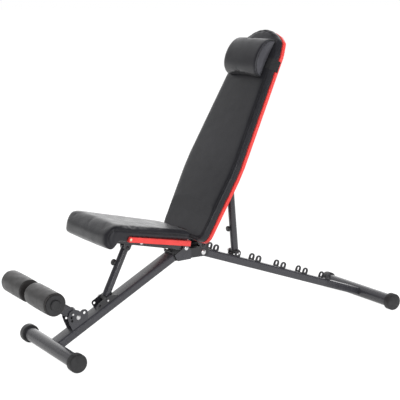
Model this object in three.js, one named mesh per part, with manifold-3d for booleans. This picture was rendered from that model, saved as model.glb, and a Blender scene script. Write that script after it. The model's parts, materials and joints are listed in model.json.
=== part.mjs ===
// Folding decline sit-up bench. Millimetres, +Z up, +X towards the rear stabiliser, +Y across the bench.
// Every named mesh is one physical piece. All turning axes run along Y, so the side elevation (X, Z)
// carries the layout: each group of pieces is drawn in its own tilted frame (u along, w up, y across)
// and then placed.
import * as THREE from 'three';
import { mergeVertices } from 'three/addons/utils/BufferGeometryUtils.js';
import Module from 'manifold-3d';

const wasm = await Module();
wasm.setup();

// ---- overall layout in the side elevation, measured from midway between the stabilisers ----
const ORIGIN_SHIFT = 37.8; // moves the overall box's centre onto X = 0
const GAP = 0.3; // between fixed pieces that touch
const RUNNING = 0.08; // radial clearance of a shaft in its bore

const FRONT_STABILISER = { x: -698, z: 33, halfWidth: 211 };
const REAR_STABILISER = { x: 698, z: 33, halfWidth: 219 };
const LEG_TOP_END = { x: -216, z: 297.3 };
const RAIL_PIVOT = { x: -91.3, z: 304.4 };
const RAIL_AIM = { x: 698, z: 28.5 }; // the rail's axis passes a little under the stabiliser's centre
const SEAT_PIVOT = { x: -168, z: 330 };
const BACKREST_PIVOT = { x: -92, z: 331 };
const BACKREST_STRUT_TOP = { x: 37.5, z: 652 };
const BACKREST_STRUT_FOOT = { x: 72, z: 277.7 };
const SEAT_STRUT_TOP = { x: -403, z: 356 };
const SEAT_CROSS_BOLT = { x: -352.5, z: 373.3 };
const SEAT_STRUT_FOOT = { x: -490, z: 177.4 };
const ROLLER_PIVOT = { x: -606.5, z: 133.3 };
const ROLLER_AXIS = { x: -766.7, z: 241.8 };

const BACKREST_TILT = 63;
const SEAT_TILT = -12.11;

// ---- tubes ----
const FRAME_TUBE = { width: 60, height: 30, corner: 7, wall: 2 };
const SEAT_TUBE = { width: 60, height: 28, corner: 5, wall: 2 };
const STABILISER_TUBE = { radius: 25, wall: 2 };
const CAP = { radius: 33, length: 30, wall: 4.5, end: 8 };
const STRUT_TUBE = { radius: 14.2, wall: 1.5, bush: 12.9 };
const ARM_TUBE = { width: 39.4, height: 38, corner: 6, wall: 2 };
const CROSSBAR = { radius: 12.5, wall: 1.5, halfLength: 180 };

// ---- plates and brackets (distances from the centre plane) ----
const GUSSET = { inner: 33.7, outer: 36.7 };
const HINGE_WALL = { inner: 30.4, outer: 33.4 };
const BACK_FRAME_WALL = { inner: 33.8, outer: 36.8 };
const SEAT_LUG = { inner: 14.5, outer: 17.5 };
const FOOT_PLATE = { inner: 22, outer: 25 };
const CATCH = { inner: 20.7, outer: 24.5, half: 12.8, arch: 12, hole: 4.7, low: 9, height: 13.68, base: 1.5 };
const CATCH_STATIONS = [-27.4, 72, 168.7, 288.1, 397.2, 516];

// ---- shafts ----
const HINGE_BOLT = 5;
const STRUT_BOLT = 4;
const LOCK_PIN = 4;
const SCREW = 3;
const FOOT_TOP = 12; // strut tube's end above the lock pin

// ---- pads ----
const SEAT = {
  rear: -262, lean: 8, flare: -548, nose: -646, halfRear: 110, halfFront: 168,
  boardEnd: -555, bottom: 305.4, board: 18, pad: 30,
};
const BACK = {
  bottom: 255, flare: 535, shoulder: 1000, crown: 1052, top: 1091,
  halfBottom: 140, halfFlare: 165, halfShoulder: 121, halfCrown: 103,
  plane: 283, board: 12, pad: 30, overhang: 3,
};
const BACK_NOTCH = { half: 52, edge: 261.5, step: 266.5, deepHalf: 31.5, deep: 274 }; // over the hinge
const PILLOW = { low: 890, high: 1045, halfLength: 107, depth: 57 };
const STRAP = { low: 950, high: 993, thick: 2 };
const FOAM = { radius: 40, inner: 20.3, outer: 181 };

// ---- finishes ----
const FINISHES = {
  frame: { color: 0x4b4b50, metalness: 0.35, roughness: 0.55 },
  dark: { color: 0x26262a, metalness: 0.3, roughness: 0.5 },
  steel: { color: 0xc8c8cc, metalness: 0.9, roughness: 0.3 },
  plastic: { color: 0x222226, metalness: 0, roughness: 0.5 },
  rubber: { color: 0x2c2c2f, metalness: 0, roughness: 0.8 },
  foam: { color: 0x464244, metalness: 0, roughness: 0.9 },
  leather: { color: 0x3a3a3e, metalness: 0, roughness: 0.5 },
  red: { color: 0xde3e3a, metalness: 0, roughness: 0.5 },
  fabric: { color: 0x2a2a2c, metalness: 0, roughness: 0.95 },
};

// ---------------------------------------------------------------- geometry helpers

const rad = (degrees) => (degrees * Math.PI) / 180;

// Placement of a tilted side-elevation frame: u points along the angle, w is 90 degrees further round.
function tilted(degrees, origin = { x: 0, z: 0 }) {
  const along = new THREE.Vector3(Math.cos(rad(degrees)), 0, Math.sin(rad(degrees)));
  const up = new THREE.Vector3(-Math.sin(rad(degrees)), 0, Math.cos(rad(degrees)));
  const matrix = new THREE.Matrix4().makeBasis(along, new THREE.Vector3(0, 1, 0), up);
  return matrix.setPosition(origin.x, 0, origin.z);
}

// A point of the side elevation in a frame's own u and w.
function local(frame, point) {
  const p = new THREE.Vector3(point.x, 0, point.z).applyMatrix4(frame.clone().invert());
  return { u: p.x, w: p.z };
}

function bearing(from, to) {
  return THREE.MathUtils.radToDeg(Math.atan2(to.z - from.z, to.x - from.x));
}

const distance = (from, to) => Math.hypot(to.x - from.x, to.z - from.z);

// Closed three.js geometry to a solid for the booleans; the winding is turned outward.
function solid(geometry) {
  geometry.deleteAttribute('normal');
  geometry.deleteAttribute('uv');
  const merged = mergeVertices(geometry, 1e-4);
  const positions = merged.getAttribute('position').array;
  const corners = merged.getIndex().array;
  const triangles = [];
  let volume = 0;
  for (let i = 0; i < corners.length; i += 3) {
    const [a, b, c] = [corners[i], corners[i + 1], corners[i + 2]];
    if (a === b || b === c || c === a) continue;
    triangles.push([a, b, c]);
    const [pa, pb, pc] = [a, b, c].map((v) => new THREE.Vector3().fromArray(positions, v * 3));
    volume += pa.dot(pb.cross(pc));
  }
  const turned = volume < 0 ? triangles.map(([a, b, c]) => [a, c, b]) : triangles;
  return new wasm.Manifold(new wasm.Mesh({
    numProp: 3,
    vertProperties: Float32Array.from(positions),
    triVerts: Uint32Array.from(turned.flat()),
  }));
}

function geometryOf(body) {
  const mesh = body.getMesh();
  const geometry = new THREE.BufferGeometry();
  geometry.setAttribute('position', new THREE.BufferAttribute(Float32Array.from(mesh.vertProperties), 3));
  geometry.setIndex(Array.from(mesh.triVerts));
  return geometry;
}

const union = (first, ...rest) => rest.reduce((sum, next) => sum.add(next), first);
const cut = (first, ...rest) => rest.reduce((left, next) => left.subtract(next), first);

// Outline with rounded corners: each corner is [across, up, radius], in order round the shape.
function outline(corners, stepDegrees = 18) {
  const points = [];
  corners.forEach(([x, y, radius = 0], i) => {
    const corner = new THREE.Vector2(x, y);
    const previous = corners[(i + corners.length - 1) % corners.length];
    const next = corners[(i + 1) % corners.length];
    const back = new THREE.Vector2(previous[0] - x, previous[1] - y).normalize();
    const ahead = new THREE.Vector2(next[0] - x, next[1] - y).normalize();
    const half = Math.acos(THREE.MathUtils.clamp(back.dot(ahead), -1, 1)) / 2;
    if (radius === 0 || half > Math.PI / 2 - 0.01) {
      points.push(corner);
      return;
    }
    const centre = back.clone().add(ahead).setLength(radius / Math.sin(half)).add(corner);
    const start = back.clone().multiplyScalar(radius / Math.tan(half)).add(corner).sub(centre);
    const sweep = Math.PI - 2 * half;
    const turn = back.cross(ahead) < 0 ? 1 : -1;
    const steps = Math.max(1, Math.ceil(sweep / rad(stepDegrees)));
    for (let k = 0; k <= steps; k += 1) {
      const arm = start.clone().rotateAround(new THREE.Vector2(), (turn * sweep * k) / steps);
      points.push(arm.add(centre));
    }
  });
  return points;
}

function circle(radius, x = 0, y = 0, segments = 24) {
  const points = [];
  for (let i = 0; i < segments; i += 1) {
    const angle = ((i + 0.5) * 2 * Math.PI) / segments;
    points.push(new THREE.Vector2(x + radius * Math.cos(angle), y + radius * Math.sin(angle)));
  }
  return points;
}

function shapeOf(points, holes = []) {
  const shape = new THREE.Shape(points);
  holes.forEach((hole) => shape.holes.push(new THREE.Path(hole)));
  return shape;
}

// Flat outline in (u, y), thick from w0 to w1. An inset rounds the far face's edge over its own height.
function slab(points, w0, w1, round = null) {
  if (round === null) {
    const flat = new THREE.ExtrudeGeometry(shapeOf(points), { depth: w1 - w0, bevelEnabled: false });
    return solid(flat.translate(0, 0, w0));
  }
  const rounded = new THREE.ExtrudeGeometry(shapeOf(points), {
    depth: w1 - w0 - round.height,
    bevelThickness: round.height,
    bevelSize: round.inset,
    bevelOffset: -round.inset,
    bevelSegments: 4,
  });
  const keep = block([-2000, 2000], [-2000, 2000], [w0, w1 + 1]);
  return solid(rounded.translate(0, 0, w0)).intersect(keep);
}

// Plate drawn in the side elevation (u, w), from y0 to y1.
function plate(points, y0, y1, holes = []) {
  const extruded = new THREE.ExtrudeGeometry(shapeOf(points, holes), { depth: y1 - y0, bevelEnabled: false });
  return solid(extruded.rotateX(Math.PI / 2).translate(0, y1, 0));
}

function block([x0, x1], [y0, y1], [z0, z1]) {
  const box = new THREE.BoxGeometry(x1 - x0, y1 - y0, z1 - z0);
  return solid(box.translate((x0 + x1) / 2, (y0 + y1) / 2, (z0 + z1) / 2));
}

// Turned piece about a cross axis: profile points are [radius, y] and start and end on the axis or close.
function turned(profile, u = 0, w = 0, segments = 24) {
  const points = profile.map(([r, y]) => new THREE.Vector2(r, y));
  const lathe = new THREE.LatheGeometry(points, segments, Math.PI / segments);
  return solid(lathe.translate(u, 0, w));
}

// Turned piece about the frame's u axis: profile points are [radius, u].
function turnedAlong(profile, segments = 24) {
  const points = profile.map(([r, y]) => new THREE.Vector2(r, y));
  const lathe = new THREE.LatheGeometry(points, segments, Math.PI / segments);
  return solid(lathe.rotateZ(-Math.PI / 2));
}

// Turned piece about the frame's w axis at a station u: profile points are [radius, w].
function turnedUp(profile, u = 0, segments = 24) {
  const points = profile.map(([r, y]) => new THREE.Vector2(r, y));
  const lathe = new THREE.LatheGeometry(points, segments, Math.PI / segments);
  return solid(lathe.rotateX(Math.PI / 2).translate(u, 0, 0));
}

const rod = (radius, y0, y1, u = 0, w = 0, segments = 24) => turned(
  [[0, y0], [radius, y0], [radius, y1], [0, y1]], u, w, segments,
);

const sleeve = (outer, inner, y0, y1, u = 0, w = 0, segments = 24) => turned(
  [[inner, y0], [outer, y0], [outer, y1], [inner, y1], [inner, y0]], u, w, segments,
);

// Hollow round-cornered tube along u.
function boxTube({ width, height, corner, wall }, u0, u1) {
  const section = (grow) => outline([
    [-width / 2 - grow, -height / 2 - grow, corner + grow],
    [width / 2 + grow, -height / 2 - grow, corner + grow],
    [width / 2 + grow, height / 2 + grow, corner + grow],
    [-width / 2 - grow, height / 2 + grow, corner + grow],
  ]);
  const holes = wall > 0 ? [section(-wall)] : [];
  const tube = new THREE.ExtrudeGeometry(shapeOf(section(0), holes), { depth: u1 - u0, bevelEnabled: false });
  const basis = new THREE.Matrix4().makeBasis(
    new THREE.Vector3(0, 1, 0), new THREE.Vector3(0, 0, 1), new THREE.Vector3(1, 0, 0),
  );
  return solid(tube.applyMatrix4(basis.setPosition(u0, 0, 0)));
}

// The space a frame tube fills, grown by the fixed gap.
function tubeSpace(u0, u1) {
  const { width, height, corner } = FRAME_TUBE;
  const grown = { width: width + 2 * GAP, height: height + 2 * GAP, corner: corner + GAP, wall: 0 };
  return boxTube(grown, u0, u1);
}

const both = (make) => ({ near: make(-1), far: make(1) });

// ---------------------------------------------------------------- frames and the group

const LEG = tilted(bearing(FRONT_STABILISER, LEG_TOP_END), FRONT_STABILISER);
const RAIL_TILT = bearing(RAIL_PIVOT, RAIL_AIM);
const RAIL = tilted(RAIL_TILT, RAIL_PIVOT);
const SIDE = tilted(0);
const BACKREST = tilted(BACKREST_TILT);
const SEAT_FRAME = tilted(SEAT_TILT);
const BACK_STRUT = tilted(bearing(BACKREST_STRUT_FOOT, BACKREST_STRUT_TOP), BACKREST_STRUT_FOOT);
const FRONT_STRUT = tilted(bearing(SEAT_STRUT_FOOT, SEAT_STRUT_TOP), SEAT_STRUT_FOOT);
const ARM = tilted(bearing(ROLLER_PIVOT, ROLLER_AXIS), ROLLER_PIVOT);

const LEG_LENGTH = distance(FRONT_STABILISER, LEG_TOP_END);
const RAIL_END = local(RAIL, REAR_STABILISER);
const TUBE_TOP = FRAME_TUBE.height / 2;

const bench = new THREE.Group();
bench.name = 'decline_sit_up_bench';

function add(name, body, frame, finish) {
  const geometry = geometryOf(body).applyMatrix4(frame).translate(ORIGIN_SHIFT, 0, 0);
  const mesh = new THREE.Mesh(geometry, new THREE.MeshStandardMaterial(FINISHES[finish]));
  mesh.name = name;
  bench.add(mesh);
}

// ---------------------------------------------------------------- bolts and nuts

// Domed-head bolt along Y: the head sits outside `from` on the -Y side, the shank runs to `to`.
function bolt(shank, head, from, to) {
  return [
    [0, from - GAP - head * 0.55], [head * 0.5, from - GAP - head * 0.47],
    [head * 0.86, from - GAP - head * 0.26], [head, from - GAP - 1.2], [head, from - GAP],
    [shank, from - GAP], [shank, to - 1], [shank - 1, to], [0, to],
  ];
}

// Hexagon nut seated on `seat`, with its bore on the shank.
function nut(shank, acrossFlats, seat, thickness, u, w) {
  const hexagon = circle(acrossFlats / Math.sqrt(3), u, w, 6);
  return plate(hexagon, seat + GAP, seat + GAP + thickness, [circle(shank + RUNNING, u, w)]);
}

function boltAndNut(name, at, shank, head, seat, finish = 'steel') {
  add(`${name}_bolt`, turned(bolt(shank, head, -seat, seat + shank * 2.2), at.x, at.z), SIDE, finish);
  add(`${name}_nut`, nut(shank, shank * 3.2, seat, shank * 1.5, at.x, at.z), SIDE, finish);
}

// ---------------------------------------------------------------- floor frames

function stabiliserTube(halfWidth) {
  const { radius, wall } = STABILISER_TUBE;
  const halfLength = halfWidth - CAP.end;
  return sleeve(radius, radius - wall, -halfLength, halfLength, 0, 0, 32);
}

// Rubber cup over a stabiliser end, with a rounded outer face and a flat facet on the floor.
function stabiliserCap(side, halfWidth) {
  const { length, wall, end } = CAP;
  const facets = 32;
  const radius = CAP.radius / Math.cos(Math.PI / facets);
  const bore = STABILISER_TUBE.radius + GAP;
  const mouth = halfWidth - length;
  const floor = halfWidth - end + GAP;
  const profile = [
    [bore, mouth], [radius - wall / 2, mouth], [radius, mouth + 2], [radius, halfWidth - 6],
    [radius - 2, halfWidth - 2.2], [radius - 6, halfWidth], [0, halfWidth], [0, floor],
    [bore, floor], [bore, mouth],
  ];
  return turned(profile.map(([r, y]) => [r, side * y]), 0, 0, facets);
}

function stabiliser(prefix, at) {
  const frame = tilted(0, at);
  add(`${prefix}_stabilizer`, stabiliserTube(at.halfWidth), frame, 'frame');
  const caps = both((side) => stabiliserCap(side, at.halfWidth));
  add(`${prefix}_cap_near`, caps.near, frame, 'rubber');
  add(`${prefix}_cap_far`, caps.far, frame, 'rubber');
}

const stabiliserSpace = (u, w) => rod(STABILISER_TUBE.radius + GAP, -60, 60, u, w, 32);

function frontLeg() {
  return cut(boxTube(FRAME_TUBE, 0, LEG_LENGTH), stabiliserSpace(0, 0));
}

// Plug in the leg's upper end: stub inside the tube, and a bumper block outside that stands above the leg.
function frontLegPlug() {
  const { width, height, corner, wall } = FRAME_TUBE;
  const side = outline([
    [LEG_LENGTH + GAP, -TUBE_TOP, 0], [LEG_LENGTH + 10, -TUBE_TOP, 4], [LEG_LENGTH + 10, TUBE_TOP + 8.6, 3],
    [LEG_LENGTH + GAP, TUBE_TOP + 8.6, 3],
  ]);
  const flange = plate(side, -width / 2, width / 2);
  const inset = wall + GAP;
  const stub = {
    width: width - 2 * inset, height: height - 2 * inset, corner: corner - inset, wall: 0,
  };
  return union(flange, boxTube(stub, LEG_LENGTH - 16, LEG_LENGTH + 1));
}

function rearRail() {
  const nose = plate(outline([
    [-8, -TUBE_TOP, 8], [RAIL_END.u + 1, -TUBE_TOP], [RAIL_END.u + 1, TUBE_TOP], [-8, TUBE_TOP, 8],
  ]), -40, 40);
  const tube = boxTube(FRAME_TUBE, -8, RAIL_END.u).intersect(nose);
  return cut(tube, stabiliserSpace(RAIL_END.u, RAIL_END.w), rod(HINGE_BOLT + RUNNING, -40, 40));
}

// One pair of arched catches on a strip across the top of the rail. The pin sits high in the upright hole.
function railCatch(station) {
  const { inner, outer, half, arch, hole, low, height, base } = CATCH;
  const axisHeight = TUBE_TOP + height;
  const slope = rad(RAIL_TILT);
  const u = (station - RAIL_PIVOT.x + axisHeight * Math.sin(slope)) / Math.cos(slope);
  const foot = TUBE_TOP + GAP;
  const top = TUBE_TOP + arch + half;
  const round = half - 0.1;
  const arched = outline([[u - half, foot], [u + half, foot], [u + half, top, round], [u - half, top, round]]);
  const end = hole - 0.1;
  const slot = outline([
    [u - hole, TUBE_TOP + low - hole, end], [u + hole, TUBE_TOP + low - hole, end],
    [u + hole, axisHeight + hole, end], [u - hole, axisHeight + hole, end],
  ]);
  const ear = (y0) => plate(arched, y0, y0 + outer - inner, [slot]);
  const strip = block([u - half + 0.5, u + half - 0.5], [-inner - 1, inner + 1], [foot, foot + base]);
  return union(strip, ear(inner), ear(-outer));
}

// ---------------------------------------------------------------- hinge area

const gussetOutline = outline([
  [-205, 284.4, 3], [-147, 286.4, 4], [-147, 318, 5], [-155, 330, 6], [-157, 343, 12],
  [-179, 343, 12], [-184, 329, 8], [-218.6, 307.7, 4],
]);

// Side gusset joining the leg's upper end to the seat pivot.
function gusset(side) {
  const [y0, y1] = side < 0 ? [-GUSSET.outer, -GUSSET.inner] : [GUSSET.inner, GUSSET.outer];
  return plate(gussetOutline, y0, y1, [circle(HINGE_BOLT + RUNNING, SEAT_PIVOT.x, SEAT_PIVOT.z)]);
}

// Channel that carries the three hinge bolts: two walls hugging the leg, joined by a web above the rail
// and a stop strap the rail's top face closes against.
function hingeChannel() {
  const { inner, outer } = HINGE_WALL;
  const pivot = BACKREST_PIVOT;
  const lower = outline([
    [-203, 289, 3], [-72, 289, 8], [-66, 312, 4], [-79, 326, 3], [-150, 324.8, 4], [-155, 336, 3],
    [-181, 336, 3], [-194, 320, 5], [-211, 305, 3],
  ]);
  const lug = outline([[-106, 322], [-76, 322], [-80, 343, 12], [-104, 343, 12]]);
  const holes = [SEAT_PIVOT, RAIL_PIVOT, pivot].map((at) => rod(HINGE_BOLT + RUNNING, -60, 60, at.x, at.z));
  const wall = (y0, y1) => cut(union(plate(lower, y0, y1), plate(lug, y0, y1)), ...holes);
  const web = block([-149, -101], [-outer, outer], [322.4, 324.8]);
  const strap = plate([
    new THREE.Vector2(-78.6, 316.9), new THREE.Vector2(-68.4, 313.4),
    new THREE.Vector2(-67.6, 315.7), new THREE.Vector2(-77.8, 319.2),
  ], -outer, outer);
  return union(wall(-outer, -inner), wall(inner, outer), web, strap);
}

// ---------------------------------------------------------------- brackets on the leg

// Holed channel on the leg that the seat strut's foot drops into.
function strutChannel() {
  const { inner, outer } = FOOT_PLATE;
  const foot = local(LEG, SEAT_STRUT_FOOT);
  const [front, rear] = [foot.u - 34, foot.u + 42];
  const side = outline([
    [front - 9, TUBE_TOP - 4, 0], [front - 10, foot.w + 10.5, 10], [foot.u + 16, foot.w + 11.5, 8],
    [rear, TUBE_TOP + 5, 4], [rear, TUBE_TOP - 4, 0],
  ]);
  const holes = [0, -34].map((step) => rod(CATCH.hole, -40, 40, foot.u + step, foot.w));
  const floor = block([front + 4, rear], [-outer, outer], [TUBE_TOP + GAP, TUBE_TOP + GAP + 1.5]);
  const walls = union(floor, plate(side, -outer, -inner), plate(side, inner, outer));
  return cut(walls, ...holes, tubeSpace(front - 40, rear + 40));
}

// Fan-shaped side plate for the leg roller's arm, standing on the leg's rounded top edge. Only the near
// plate carries the spare hole's lobe.
function rollerBracket(side) {
  const { inner, outer } = FOOT_PLATE;
  const [y0, y1] = side < 0 ? [-outer, -inner] : [inner, outer];
  const lobe = [
    [-604, 158, 10], [-597.5, 151, 3], [-593, 159, 10], [-571, 159, 12], [-569, 138, 10], [-572, 112, 0],
  ];
  const plain = [[-600, 157, 14], [-590, 138, 14], [-574, 108, 0]];
  const fan = outline([
    [-628, 84, 0], [-640, 112, 10], [-647, 133, 14], [-641, 156, 14], [-622, 164, 18],
    ...(side < 0 ? lobe : plain),
  ]);
  const pitch = [147, 175, 203];
  const adjusters = pitch.map((angle) => rod(
    CATCH.hole, -40, 40,
    ROLLER_PIVOT.x + 26.2 * Math.cos(rad(angle)), ROLLER_PIVOT.z + 26.2 * Math.sin(rad(angle)),
  ));
  const pivot = rod(HINGE_BOLT + RUNNING, -40, 40, ROLLER_PIVOT.x, ROLLER_PIVOT.z);
  const spare = rod(5, -40, 40, -582.5, 146.6);
  const leg = tubeSpace(0, 300).transform(LEG.elements.slice());
  return cut(plate(fan, y0, y1), ...adjusters, pivot, spare, leg);
}

// ---------------------------------------------------------------- backrest

function backOutline(grow = 0) {
  const { bottom, flare, shoulder, crown, top, halfBottom, halfFlare, halfShoulder, halfCrown } = BACK;
  const rise = top - crown;
  const radius = (halfCrown ** 2 + rise ** 2) / (2 * rise);
  const half = [
    [bottom - grow, halfBottom + grow, 38], [flare, halfFlare + grow, 300],
    [shoulder, halfShoulder + grow, 60], [crown + grow * 0.5, halfCrown + grow, 22],
  ];
  const arc = [0.66, 0.33, 0, -0.33, -0.66].map((share) => {
    const y = halfCrown * share;
    return [top + grow - radius + Math.sqrt(radius ** 2 - y ** 2), y, 0];
  });
  const mirrored = half.map(([s, y, r]) => [s, -y, r]).reverse();
  return outline([...half, ...arc, ...mirrored]);
}

// Wedge cut out of the bottom edge of the board and the cushion above the hinge bolts, deeper over the
// seat frame.
function backrestNotch() {
  const { half, edge, step, deepHalf, deep } = BACK_NOTCH;
  const back = BACK.plane - 5;
  const middle = BACK.plane + BACK.board;
  const front = middle + GAP + BACK.pad;
  const wedge = (face, reach) => plate(
    [[200, back], [edge, back], [edge, middle], [step, middle], [face, front], [face, front + 5], [200, front + 5]]
      .map(([u, w]) => new THREE.Vector2(u, w)),
    -reach, reach,
  );
  return union(wedge(step, half), wedge(deep, deepHalf));
}

function backrestBoard() {
  return cut(slab(backOutline(), BACK.plane, BACK.plane + BACK.board), backrestNotch());
}

function backrestCushion() {
  const base = BACK.plane + BACK.board + GAP;
  const pad = slab(backOutline(BACK.overhang), base, base + BACK.pad, { height: 12, inset: 8 });
  return cut(pad, backrestNotch());
}

// Channel on the back of the board. Its walls carry the strut's upper bolt and run down as hinge lugs.
function backrestFrame() {
  const { inner, outer } = BACK_FRAME_WALL;
  const top = BACK.plane - GAP;
  const pivot = local(BACKREST, BACKREST_PIVOT);
  const strut = local(BACKREST, BACKREST_STRUT_TOP);
  const side = outline([
    [pivot.u - 12, pivot.w - 12, 12], [pivot.u + 16, pivot.w - 12, 12], [334, 258, 20],
    [strut.u - 26, 259.5, 8], [strut.u - 9, strut.w - 10.5, 7], [strut.u + 9, strut.w - 10.5, 7],
    [strut.u + 24, 260.5, 8], [652, 261, 5], [652, top], [263, top, 3], [pivot.u - 12, pivot.w + 6, 10],
  ]);
  const holes = [pivot, strut].map((at, i) => rod([HINGE_BOLT, STRUT_BOLT][i] + RUNNING, -60, 60, at.u, at.w));
  const web = block([268, 650], [-outer, outer], [top - 3, top]);
  return cut(union(web, plate(side, -outer, -inner), plate(side, inner, outer)), ...holes);
}

// Half-round head pillow lying across the cushion, flat side on it.
function headPillow() {
  const { low, high, halfLength, depth } = PILLOW;
  const face = BACK.plane + BACK.board + BACK.pad + 2 * GAP;
  const half = (high - low) / 2;
  const middle = (high + low) / 2;
  const points = [];
  for (let i = 0; i <= 16; i += 1) {
    const angle = (Math.PI * i) / 16;
    const bulge = Math.sin(angle) ** 0.8;
    points.push(new THREE.Vector2(middle + half * Math.cos(angle), face + depth * bulge));
  }
  const bevel = 10;
  const roll = new THREE.ExtrudeGeometry(shapeOf(points), {
    depth: 2 * (halfLength - bevel), bevelThickness: bevel, bevelSize: bevel, bevelOffset: -bevel, bevelSegments: 3,
  });
  const placed = roll.rotateX(Math.PI / 2).translate(0, halfLength - bevel, 0);
  return solid(placed).intersect(block([0, 2000], [-500, 500], [face + 0.5, face + 200]));
}

// Elastic strap round the back of the board; its ends meet the pillow.
function pillowStrap() {
  const { low, high, thick } = STRAP;
  const back = BACK.plane - GAP;
  const front = BACK.plane + BACK.board + BACK.pad + 2 * GAP;
  const edge = BACK.overhang + GAP;
  const outer = slab(backOutline(edge + thick), back - thick, front + thick);
  const inner = slab(backOutline(edge), back, front);
  const opening = block([0, 2000], [-PILLOW.halfLength - 1, PILLOW.halfLength + 1], [front - 20, front + 20]);
  return cut(outer, inner, opening).intersect(block([low, high], [-300, 300], [0, 1000]));
}

// ---------------------------------------------------------------- seat

function seatPlan(nose) {
  const { rear, flare, halfRear, halfFront } = SEAT;
  return outline([
    [rear, halfRear, 12], [rear, -halfRear, 12], [flare, -halfFront, 60], [nose, -halfFront + 3, 30],
    [nose, halfFront - 3, 30], [flare, halfFront, 60],
  ]);
}

function seatBoard() {
  const { boardEnd, bottom, board } = SEAT;
  const plan = slab(seatPlan(SEAT.nose), bottom, bottom + board);
  return plan.intersect(block([boardEnd, 0], [-300, 300], [0, 1000]));
}

// Seat cushion: flat pad on the board, rolled over the board's front end.
function seatCushion() {
  const { rear, lean, nose, boardEnd, bottom, board, pad } = SEAT;
  const base = bottom + board + GAP;
  const top = base + pad;
  const profile = plate(outline([
    [rear, base], [rear - lean, top, 10], [nose + 22, top, 26], [nose, bottom + 10, 24], [nose + 4, bottom - 24, 14],
    [nose + 34, bottom - 34, 12], [nose + 62, bottom - GAP, 4], [boardEnd - GAP, bottom - GAP],
    [boardEnd - GAP, base],
  ]), -300, 300);
  const body = slab(seatPlan(nose), bottom - 40, top, { height: 16, inset: 9 });
  return body.intersect(profile);
}

// Tube under the seat board, rounded off at the hinge, with two lugs for the strut below it.
function seatFrame() {
  const pivot = local(SEAT_FRAME, SEAT_PIVOT);
  const strut = local(SEAT_FRAME, SEAT_STRUT_TOP);
  const cross = local(SEAT_FRAME, SEAT_CROSS_BOLT);
  const top = SEAT.bottom - GAP;
  const low = top - SEAT_TUBE.height;
  const middle = (top + low) / 2;
  const lift = new THREE.Matrix4().makeTranslation(0, 0, middle);
  const tube = boxTube(SEAT_TUBE, -560, pivot.u + 13).transform(lift.elements.slice());
  const side = plate(outline([
    [-560, low], [pivot.u + 11.8, low, 11], [pivot.u + 12, pivot.w + 12, 11.5], [pivot.u - 4, pivot.w + 12.6, 8],
    [SEAT.rear, top, 6], [-560, top],
  ]), -60, 60);
  const lug = outline([
    [strut.u - 16, low + 1], [strut.u - 10, strut.w - 10, 10], [strut.u + 10, strut.w - 10, 10],
    [strut.u + 16, low + 1],
  ]);
  const lugs = [plate(lug, -SEAT_LUG.outer, -SEAT_LUG.inner), plate(lug, SEAT_LUG.inner, SEAT_LUG.outer)];
  const holes = [
    rod(HINGE_BOLT + RUNNING, -60, 60, pivot.u, pivot.w),
    rod(STRUT_BOLT + RUNNING, -60, 60, strut.u, strut.w),
    rod(STRUT_BOLT + RUNNING, -60, 60, cross.u, cross.w),
    ...seatScrewStations.map((u) => turnedUp([[0, 0], [SCREW + GAP, 0], [SCREW + GAP, low + 6], [0, low + 6]], u)),
  ];
  return cut(union(tube.intersect(side), ...lugs), ...holes);
}

const seatScrewStations = [-445, -307];

// Pan-head screw through the underside of the seat frame.
function seatScrew(u) {
  const low = SEAT.bottom - GAP - SEAT_TUBE.height;
  return turnedUp([
    [0, low - 5.2], [4.5, low - 4.6], [7.5, low - 2.4], [8, low - GAP], [SCREW, low - GAP],
    [SCREW, low + 20], [0, low + 22],
  ], u);
}

// ---------------------------------------------------------------- struts

// Round strut tube with a cross bush at the upper end and a hole for the pull knob.
function strutTube(length, knobAt) {
  const { radius, wall, bush } = STRUT_TUBE;
  const outer = turnedAlong([[0, FOOT_TOP], [radius, FOOT_TOP], [radius, length], [0, length]]);
  const round = union(outer, rod(bush, -radius, radius, length, 0));
  const low = FOOT_TOP - 1;
  const bore = turnedAlong([[0, low], [radius - wall, low], [radius - wall, length - 14], [0, length - 14]]);
  const knob = turnedUp([[0, 0], [4 + RUNNING, 0], [4 + RUNNING, 20], [0, 20]], knobAt);
  return cut(round, bore, knob, rod(STRUT_BOLT + RUNNING, -40, 40, length, 0));
}

// Cross bar plugged into the strut's lower end; its slot drops over the lock pin.
function strutFoot(halfWidth) {
  const slot = CATCH.hole - 0.1;
  const top = FOOT_TOP - GAP;
  const bar = plate(outline([
    [-5.5, -9, 3.5], [-5.5, -slot], [0, -slot], [0, slot], [-5.5, slot], [-5.5, 9, 3.5], [top, 9, 4], [top, -9, 4],
  ]), -halfWidth, halfWidth);
  const bore = STRUT_TUBE.radius - STRUT_TUBE.wall - GAP;
  const stub = turnedAlong([[0, 9], [bore, 9], [bore, 32], [0, 32]]);
  return cut(union(bar, stub), rod(slot, -40, 40, 0, 0));
}

// Round pull knob on a plunger that enters the strut's front wall.
function pullKnob(at, head) {
  const wall = STRUT_TUBE.radius;
  return turnedUp([
    [0, 2], [4, 2], [4, wall + 1.5], [head * 0.55, wall + 1.5], [head * 0.8, wall + 3], [head, wall + 6],
    [head, wall + 10], [head * 0.82, wall + 13.4], [0, wall + 14.5],
  ], at);
}

// Cross pin with a plain silver tip on the near side and a grip on the far side.
function lockPin(reach) {
  const grip = reach + 1;
  return turned([
    [0, -reach - 5], [LOCK_PIN - 1, -reach - 5], [LOCK_PIN, -reach - 4], [LOCK_PIN, grip],
    [9, grip], [11, grip + 2], [11, grip + 9], [9, grip + 11], [0, grip + 11],
  ]);
}

function addStrut(name, frame, top, foot, knobAt, knobHead, footHalf) {
  add(`${name}_strut`, strutTube(distance(foot, top), knobAt), frame, 'frame');
  add(`${name}_strut_foot`, strutFoot(footHalf), frame, 'plastic');
  add(`${name}_pull_knob`, pullKnob(knobAt, knobHead), frame, 'plastic');
}

// ---------------------------------------------------------------- leg roller

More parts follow.
